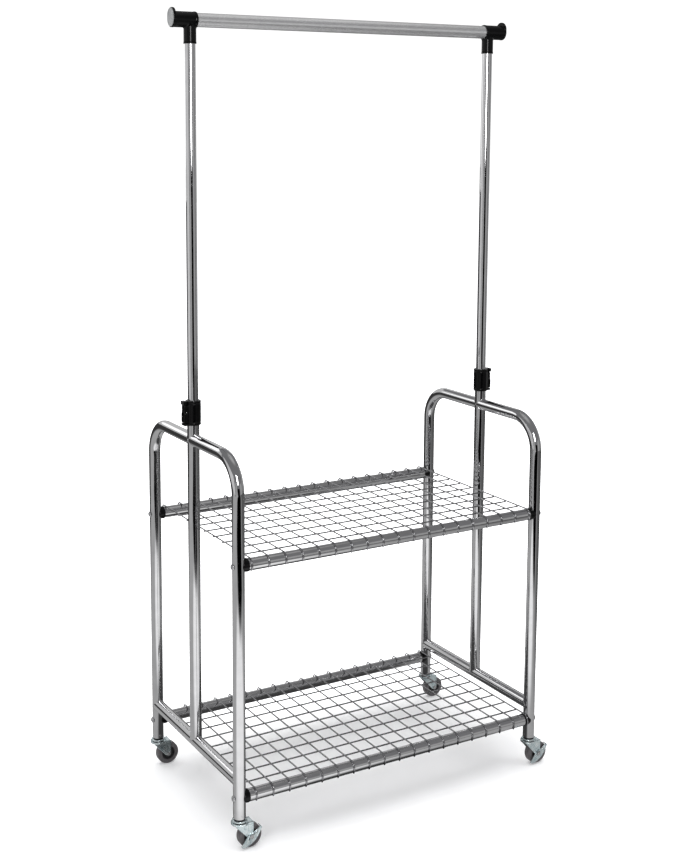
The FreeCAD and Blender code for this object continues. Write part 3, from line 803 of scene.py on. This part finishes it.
def collar_lever_field(x, y, z):
    """Cam lever in the same place as the collar: hub, cam nose, arm and a grooved finger lip."""
    hub = disc(np.hypot(x - PIVOT[0], z - PIVOT[1]), y, 4.3, LEVER_HALF, 0.6)
    nose = disc(np.hypot(x - PIVOT[0] + 3.6, z - PIVOT[1] + 0.4), y, 3.3, LEVER_HALF, 0.6)
    arm = brick(x - 19.75, y, z - 39.5, (2.25, LEVER_HALF, 11.5), 0.8)
    lip = brick(x - 21.0, y, z - 47.0, (4.0, 8.0, 4.0), 1.3)
    lever = soft_union(soft_union(hub, nose, 1.2), soft_union(arm, lip, 1.5), 1.0)
    for height in (45.0, 47.2, 49.4):
        lever = soft_cut(lever, np.maximum(24.5 - x, np.abs(z - height) - 0.35), 0.5)
    return lever


def collars():
    """Both clamp collars, their cam levers and the levers' pins."""
    collar = shaped(collar_field, (-18, -18, -1.5), (26, 18, 53), 0.75)
    lever = shaped(collar_lever_field, (9, -9.5, 21), (26.5, 9.5, 52.5), 0.6)
    for solid, kind, node, bodies in (
            (collar, "collar_moulding", "collar", ("frame", "frame")),
            (lever, "cam_lever", "collar_lever", ("right_lock", "left_lock"))):
        right = solid.moved(LEG_X, 0, COLLAR_Z)
        for side, piece, body in zip(("right", "left"), (right, right.flipped(0)), bodies):
            place(piece, f"{side}_{kind}", BLACK, body, [f"{side}_{node}"], "black_plastic", 60)
    half = [(1.5, 7.4), (1.45, 7.7), (0.9, 8.05)]
    pin = along_y(lathe([(r, -h) for r, h in reversed(half)] + half, 24))
    pin = pin.moved(LEG_X + PIVOT[0], 0, COLLAR_Z + PIVOT[1])
    place(joined([pin, pin.flipped(0)]), "lever_pins", STEEL, "frame", ["collar_pins"], "fastener")


# ---- casters ----

FORK_OUTLINE = [(-12.5, 55.4), (26.5, 55.4), (26.5, 25.5), (25.4, 21.7), (22.4, 19.7),
                (19.3, 19.8), (16.9, 21.3), (-12.5, 53.4)]
FORK_SHEET_Y = 10.4
FORK_DECK_Z = 54.5
SLOPE_TOP = (-11.5, 52.2)
SLOPE_RUN = (28.4, -31.4)
BRAKE_OUTLINE = [(-28.4, -1.4), (-26.5, -4.5), (-22.0, -7.5), (-12.0, -11.0), (0.0, -12.3),
                 (8.0, -11.2), (17.0, -8.6), (24.5, -5.5), (27.4, -4.4), (27.4, 1.4), (17.0, 1.6),
                 (9.0, 4.0), (3.0, 6.0), (-4.0, 7.8), (-9.0, 6.8), (-17.5, 4.9), (-25.5, 3.6),
                 (-28.4, 1.5)]
BRAKE_TILT = math.radians(42.0)
BRAKE_LEAF_Y = -12.3
BRAKE_BEADS = ((-7.6, 1.6), (7.0, 0.6), (13.0, -1.2))


def fork_field(x, y, z):
    """Pressed fork round the swivel axis, wheel towards +X.

    A dished cup and a deck, two swaged plates, and a turned flange down each plate's slope.
    """
    around = np.hypot(x, y)
    floor = disc(around, z - FORK_DECK_Z, 17.2, 0.9, 0.5)
    rim = np.hypot(np.maximum(np.abs(around - 16.45) - 0.05, 0),
                   np.maximum(np.abs(z - 55.8) - 1.4, 0)) - 0.75
    body = soft_union(floor, rim, 1.0)
    body = soft_union(body, brick(x - 14.0, y, z - FORK_DECK_Z, (12.5, 11.3, 0.9), 0.5), 0.8)
    sheet = plate(x, z, np.abs(y) - FORK_SHEET_Y, FORK_OUTLINE, 0.9, 0.4)
    inset = plate(x, z, 0 * y, FORK_OUTLINE, 9.0, 0.0)
    swage = 0.45 * np.exp(-((np.abs(inset + 3.2)) / 0.9) ** 2)
    body = soft_union(body, sheet - np.where(np.abs(y) > FORK_SHEET_Y, swage, 0), 1.6)
    from_top = x - SLOPE_TOP[0], z - SLOPE_TOP[1]
    t = np.clip((from_top[0] * SLOPE_RUN[0] + from_top[1] * SLOPE_RUN[1])
                / (SLOPE_RUN[0] ** 2 + SLOPE_RUN[1] ** 2), 0, 0.93)
    flange = np.sqrt((from_top[0] - SLOPE_RUN[0] * t) ** 2 + (from_top[1] - SLOPE_RUN[1] * t) ** 2
                     + (np.abs(y) - 10.3) ** 2) - 1.25
    body = soft_union(body, flange, 1.4)
    body = np.maximum(body, -np.maximum(around - 15.9, np.abs(z - 60) - 4.6))
    body = soft_cut(body, around - 5.6, 0.3)
    return soft_cut(body, np.hypot(x - TRAIL, z - WHEEL_Z) - 3.0, 0.3)


def brake_field(x, y, z):
    """Brake leaf round the axle, z up: a turned rim, three beads and a tab over the tyre."""
    u = x * math.cos(BRAKE_TILT) + z * math.sin(BRAKE_TILT)
    v = z * math.cos(BRAKE_TILT) - x * math.sin(BRAKE_TILT)
    depth = plate(u, v, 0 * y, BRAKE_OUTLINE, 20.0, 0.0)
    rim = 0.5 * np.exp(-((depth + 1.1) / 0.8) ** 2) * (v < 2.5)
    leaf = plate(u, v, y - BRAKE_LEAF_Y, BRAKE_OUTLINE, 0.6, 0.35)
    leaf = leaf - np.where(y < BRAKE_LEAF_Y, rim, 0)
    for at_u, at_v in BRAKE_BEADS:
        bead = np.sqrt((u - at_u) ** 2 + (v - at_v) ** 2 + (y + 12.7) ** 2) - 2.4
        leaf = soft_union(leaf, np.maximum(bead, y + 12.0), 0.3)
    tab = brick(u - 26.7, y + 8.1, v + 1.5, (0.75, 5.0, 3.0), 0.5)
    toe = brick(u + 27.6, y + 10.8, v - 0.1, (0.75, 2.3, 1.6), 0.5)
    body = soft_union(soft_union(leaf, tab, 1.3), toe, 1.0)
    return soft_cut(body, np.hypot(x, z) - 3.05, 0.3)


def mirrored(half):
    """Profile whose lower half repeats the upper one, from (radius, height) pairs."""
    return [(r, -h) for r, h in half] + [(r, h) for r, h in reversed(half)]


def rib(x, y, z):
    """Bar between two values each way, with softened long edges."""
    soft = 0.3
    loops = []
    for height, inset in ((z[0], soft), (z[0] + soft, 0), (z[1] - soft, 0), (z[1], soft)):
        a, b, c, d = x[0], x[1], y[0] + inset, y[1] - inset
        loops.append(np.array([(a, c, height), (b, c, height), (b, d, height), (a, d, height)]))
    return rings(loops)


def wheel_hub():
    """Wheel centre with a dished web, ribs and a boss, turned about Z."""
    profile = mirrored([(3.1, 9.0), (5.6, 9.0), (6.0, 8.7), (6.3, 6.2), (7.0, 5.6), (12.0, 5.4),
                        (12.7, 5.9), (13.1, 8.1), (13.5, 8.5), (15.1, 8.5), (15.5, 8.2)])
    pieces = [lathe(profile + [profile[0]], 72, (False, False))]
    blade = rib((5.8, 13.2), (-0.9, 0.9), (-7.6, 7.6))
    for a in (math.pi * i / 3 for i in range(6)):
        axes = [(math.cos(a), math.sin(a), 0), (-math.sin(a), math.cos(a), 0), (0, 0, 1)]
        pieces.append(blade.turned(axes))
    return joined(pieces)


def wheel_tyre():
    """Tyre with rounded shoulders, a step beside the hub and a mould line, turned about Z."""
    half = [(15.45, 8.3), (15.9, 8.5), (17.0, 8.5), (17.3, 8.25), (18.0, 8.25), (18.3, 8.5),
            (21.6, 8.45)]
    half += [(22.0 + 3.0 * math.sin(a), 5.45 + 3.0 * math.cos(a))
             for a in np.radians(np.linspace(8, 90, 10))]
    half += [(25.0, 3.0), (25.0, 0.35), (24.85, 0.12)]
    return lathe(mirrored(half), 128, (False, False))


def rivet(front, rear):
    """Axle with domed heads, along Z, from its front head to its rear one."""
    half = [(3.0, -0.3), (4.3, -0.05), (4.6, 0.25), (4.4, 0.8), (3.7, 1.2), (2.6, 1.45),
            (1.9, 1.1), (0.8, 1.0)]
    profile = [(r, -front - h) for r, h in reversed(half)] + [(r, rear + h) for r, h in half]
    return lathe(profile, 48)


def crimp():
    """Punched dimple that holds a caster socket, facing +X on a leg."""
    ring = lathe([(2.3, 12.3), (2.2, 12.72), (1.9, 12.86), (1.5, 12.84), (1.15, 12.7),
                  (0.7, 12.62), (0.2, 12.6)], 24)
    return along_x(ring).moved(z=LEG_BOTTOM + 6.5)


RIVET_HEAD = 1.5


def swivel_seats():
    """What stays on the legs: ball-race cups, plugs and crimp marks."""
    cup = lathe([(5.6, 59.5), (13.6, 59.45), (14.6, 59.6), (15.0, 60.1), (15.0, 61.4),
                 (14.7, 62.2), (13.9, 62.75), (12.8, 62.95), (5.6, 62.98)], 80)
    plug = lathe([(5.7, 63.0), (10.9, 63.02), (11.4, 63.3), (11.5, 63.9), (11.5, 65.1),
                  (11.2, 65.5), (10.6, 65.7), (10.4, 66.3), (10.3, 70.0)], 80)
    marks = [crimp(), crimp().turned([(0, -1, 0), (1, 0, 0), (0, 0, 1)])]
    marks += [mark.flipped(0).flipped(1) for mark in marks]
    places = [(side_x * LEG_X, side_y * LEG_Y) for side_x, side_y in CORNERS.values()]
    for solids, name, material, nodes, slot in (
            ([cup], "race_cups", ZINC, ["caster_cups"], "zinc"),
            ([plug], "leg_plugs", BLACK, ["caster_sockets"], "black_plastic"),
            (marks, "leg_crimps", CHROME, [], "chrome_tube")):
        copies = [solid.moved(x, y) for solid in solids for x, y in places]
        place(joined(copies), name, material, "frame", nodes, slot)


def casters():
    """Four casters. Fork, wheel and brake are on bodies of their own."""
    swivel_seats()
    fork = shaped(fork_field, (-19, -19, 17.5), (29, 19, 60), 0.6)
    brake = shaped(brake_field, (-23, -15, -27), (26, 15, 27), 0.6).moved(TRAIL, 0, WHEEL_Z)
    hub = along_y(wheel_hub()).moved(TRAIL, 0, WHEEL_Z)
    tyre = along_y(wheel_tyre()).moved(TRAIL, 0, WHEEL_Z)
    for corner, (side_x, side_y) in CORNERS.items():
        x, y = side_x * LEG_X, side_y * LEG_Y
        front = y - low_mm(corner + "_axle").y - RIVET_HEAD
        rear = high_mm(corner + "_axle").y - y - RIVET_HEAD
        axle = along_y(rivet(front, rear)).moved(TRAIL, 0, WHEEL_Z)
        pieces = [(fork, "_pressed_fork", ZINC, "_swivel", "_fork", "zinc", 60),
                  (axle, "_rivet", STEEL, "_swivel", "_axle", "zinc", 38),
                  (hub, "_wheel_centre", HUB_BLACK, "_wheel", "_hub", "wheel_hub", 38),
                  (tyre, "_rubber_tyre", RUBBER, "_wheel", "_tyre", "tyre", 50)]
        if corner in BRAKED:
            pieces.append((brake, "_brake_pressing", ZINC, "_brake", "_brake_lever", "zinc", 60))
        for solid, name, material, body, node, slot, sharp_deg in pieces:
            place(solid.moved(x, y), corner + name, material, corner + body, [corner + node], slot,
                  sharp_deg)


def dress_hidden_nodes():
    """CAD nodes that stay as they are still get a real finish."""
    finishes = {"rail_nuts": (STEEL, "fastener"), "caster_balls": (STEEL, "fastener"),
                "caster_stems": (ZINC, "zinc"), "mast_glides": (BLACK, "black_plastic")}
    for node, (material, slot) in finishes.items():
        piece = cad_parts[node]
        piece.data.materials.clear()
        piece.data.materials.append(material)


end_frames()
rails()
for shelf_level in RAIL_Z:
    shelf(shelf_level)
mast()
collars()
casters()
dress_hidden_nodes()


# ---- studio ----

def emission(name, strength):
    material, n = new_material(name)
    n.show(n.glow(strength))
    return material


def only_for(made, *kinds):
    """Let only these kinds of ray see a stage piece."""
    for kind in ("camera", "diffuse", "glossy", "transmission", "volume_scatter", "shadow"):
        setattr(made, "visible_" + kind, kind in kinds)


def stage_mesh(name, points, faces, material, *kinds):
    mesh = bpy.data.meshes.new(name)
    mesh.from_pydata(points, [], faces)
    mesh.materials.append(material)
    made = bpy.data.objects.new(name, mesh)
    bpy.context.scene.collection.objects.link(made)
    only_for(made, *kinds)
    return made


def card(name, centre, width, height, facing, material):
    """Upright card that only reflections see, facing a direction in degrees from -Y towards +X."""
    a = math.radians(facing)
    across = Vector((math.cos(a), math.sin(a), 0)) * width / 2
    up = Vector((0, 0, height / 2))
    c = Vector(centre)
    corners = [c - across - up, c + across - up, c + across + up, c - across + up]
    stage_mesh(name, corners, [(0, 1, 2, 3)], material, "glossy")


FLOOR_HALF = 20.0
FLOOR_DROP = 0.0004


def build_floor():
    """Pale floor for the camera, and another one for reflections."""
    corners = [(x * FLOOR_HALF, y * FLOOR_HALF, 0) for x, y in ((-1, -1), (1, -1), (1, 1), (-1, 1))]
    floor = stage_mesh("floor", corners, [(0, 1, 2, 3)], pale_floor_material(), "camera", "diffuse")
    floor.location.z = -FLOOR_DROP
    seen = stage_mesh("floor_in_reflections", corners, [(0, 1, 2, 3)], reflected_floor_material(),
                      "glossy")
    seen.location.z = -2 * FLOOR_DROP


def pale_floor_material():
    """Paper that glows more away from the rack; the glow is left out under the rack, which paints a
    shadow there on top of the lamps' soft cast shadow.
    """
    material, n = new_material("pale_floor")
    mottle = n.noise(3.0, detail=2.0)
    diffuse = n.node("ShaderNodeBsdfDiffuse")
    n.join(n.tint(mottle, [(0.3, (0.86, 0.862, 0.868)), (0.7, (0.88, 0.882, 0.888))]),
           diffuse.inputs["Color"])
    # Painted shadow: no glow inside a rounded rectangle round the rack, rising to full white
    # outside it, which sets the shadow's edge.
    away = n.square_reach((0.02, 0, 0), (1 / 0.40, 1 / 0.22, 0))
    both = n.node("ShaderNodeAddShader")
    n.join(diffuse.outputs["BSDF"], both.inputs[0])
    n.join(n.glow(n.spread(away, 0.0, 1.2, 0.73, 1.96), (0.985, 0.99, 1.0)), both.inputs[1])
    n.show(both.outputs["Shader"])
    return material


def reflected_floor_material():
    """What the chrome sees below it.

    Bright paper in front, grey round it, a dark room behind the camera, shade under the rack.
    """
    material, n = new_material("floor_in_reflections")
    split = n.node("ShaderNodeSeparateXYZ")
    n.join(n.coordinates, split.inputs["Vector"])
    x, y = split.outputs["X"], split.outputs["Y"]
    sides = n.spread(x, 0.48, 0.13, 0.25, 1.4)
    paper = n.spread(n.reach((-0.55, -0.85, 0), (1 / 1.05, 1 / 0.72, 0)), 0.65, 0.0, 0.6, 1.0)
    in_front = n.spread(y, 0.0, 1.0, -1.55, -1.2)
    room = n.spread(n.reach((-0.75, -3.3, 0), (1 / 1.45, 0, 0)), 0.0, 1.0, 0.8, 1.0)
    behind = n.spread(y, 1.0, 0.1, 0.9, 1.9)
    shade = n.spread(n.reach((0, -0.02, 0), (1 / 0.52, 1 / 0.34, 0)), 0.12, 1.0, 0.72, 1.0)
    kept = n.math("MULTIPLY", n.math("MULTIPLY", n.math("MAXIMUM", in_front, room), shade), behind)
    n.show(n.glow(n.math("MULTIPLY", n.math("ADD", sides, paper), kept)))
    return material


def build_world():
    """Dim room."""
    world = bpy.data.worlds.new("studio")
    world.use_nodes = True
    bpy.context.scene.world = world
    background = world.node_tree.nodes["Background"]
    background.inputs["Color"].default_value = (0.22, 0.22, 0.225, 1)
    background.inputs["Strength"].default_value = 1.0


def build_backdrop():
    """White surround that only the camera sees."""
    radius = 34.0
    profile = [(radius * math.cos(a), radius * math.sin(a)) for a in np.linspace(-1.5, 1.5, 12)]
    solid = lathe(profile, 48)
    stage_mesh("backdrop", solid.points.tolist(), solid.faces, emission("backdrop_white", 1.1),
               "camera")


def area(name, place_at, target, width, height, power):
    """Soft light that reflections don't show."""
    data = bpy.data.lights.new(name, "AREA")
    data.shape = "RECTANGLE"
    data.size, data.size_y = width, height
    data.energy = power
    light = bpy.data.objects.new(name, data)
    light.location = place_at
    toward = Vector(target) - Vector(place_at)
    light.rotation_euler = toward.to_track_quat("-Z", "Y").to_euler()
    light.visible_glossy = False
    bpy.context.scene.collection.objects.link(light)


TONES = {"bright": 1.6, "core": 11.0, "strip": 3.0, "light": 0.74, "back": 0.66, "grey": 0.42,
         "dark": 0.05, "black": 0.0}
CARDS = (("back_wall", (0, 4.6, 0.5), 12.0, 1.4, 180, "dark"),
         ("back_panel", (0, 4.5, 2.5), 9.0, 2.6, 180, "back"),
         ("near_panel", (-0.87, 1.45, 1.47), 0.75, 0.55, 190, "bright"),
         ("left_panel", (-4.2, 0.6, 1.2), 5.5, 2.8, -90, "light"),
         ("left_flag", (-3.4, -1.35, 0.9), 0.4, 2.6, -70, "dark"),
         ("right_panel", (4.2, 0.2, 1.0), 5.5, 2.2, 90, "grey"),
         ("right_flag", (2.9, -1.2, 0.9), 0.35, 2.4, 65, "dark"),
         ("front_left_panel", (-3.9, -3.3, 1.0), 2.0, 2.4, -45, "grey"),
         ("front_right_panel", (2.4, -4.4, 1.0), 3.4, 2.6, 25, "grey"),
         ("dark_room", (-1.2, -4.5, 0.62), 3.1, 1.5, -15, "black"),
         ("strip", (-0.75, -1.9, 1.87), 0.6, 1.15, -22, "strip"),
         ("strip_core", (-0.745, -1.888, 1.87), 0.5, 1.05, -22, "core"))


def build_lights():
    area("overhead", (0.5, 0.8, 3.2), (0.5, 0.8, 0), 5.2, 5.2, 176)
    area("front_left", (-2.6, -2.2, 2.4), (0, 0, 0.8), 1.4, 1.8, 26)
    area("front_right", (2.4, -2.0, 1.9), (0, 0, 0.8), 1.0, 1.6, 10)
    tones = {name: emission("card_" + name, value) for name, value in TONES.items()}
    for name, centre, width, height, facing, tone in CARDS:
        card(name, centre, width, height, facing, tones[tone])
    soft, n = new_material("card_soft")
    away = n.reach((0.2, 0, 0), (1 / 1.1, 1 / 0.9, 0))
    n.show(n.glow(n.spread(away, 0.5, 0.22, 0.25, 1.0)))
    corners = [(-0.9, -0.9, 2.45), (1.3, -0.9, 2.45), (1.3, 0.9, 2.45), (-0.9, 0.9, 2.45)]
    stage_mesh("over_bar", corners, [(0, 1, 2, 3)], soft, "glossy")


def build_camera():
    """View from the front left and a little above, with the picture shifted right and down."""
    data = bpy.data.cameras.new("camera")
    data.lens = 55.769895
    data.sensor_width = 36.0
    data.shift_x = 0.0700585
    data.shift_y = -0.1480819
    data.clip_end = 100.0
    camera = bpy.data.objects.new("camera", data)
    camera.location = (-1.490165, -2.420219, 1.435276)
    camera.rotation_euler = (math.pi / 2 - 0.132, -0.001, -0.509)
    bpy.context.scene.collection.objects.link(camera)
    bpy.context.scene.camera = camera


build_floor()
build_world()
build_backdrop()
build_lights()
build_camera()
bpy.context.scene.view_settings.view_transform = "Standard"
bpy.context.scene.view_settings.look = "None"
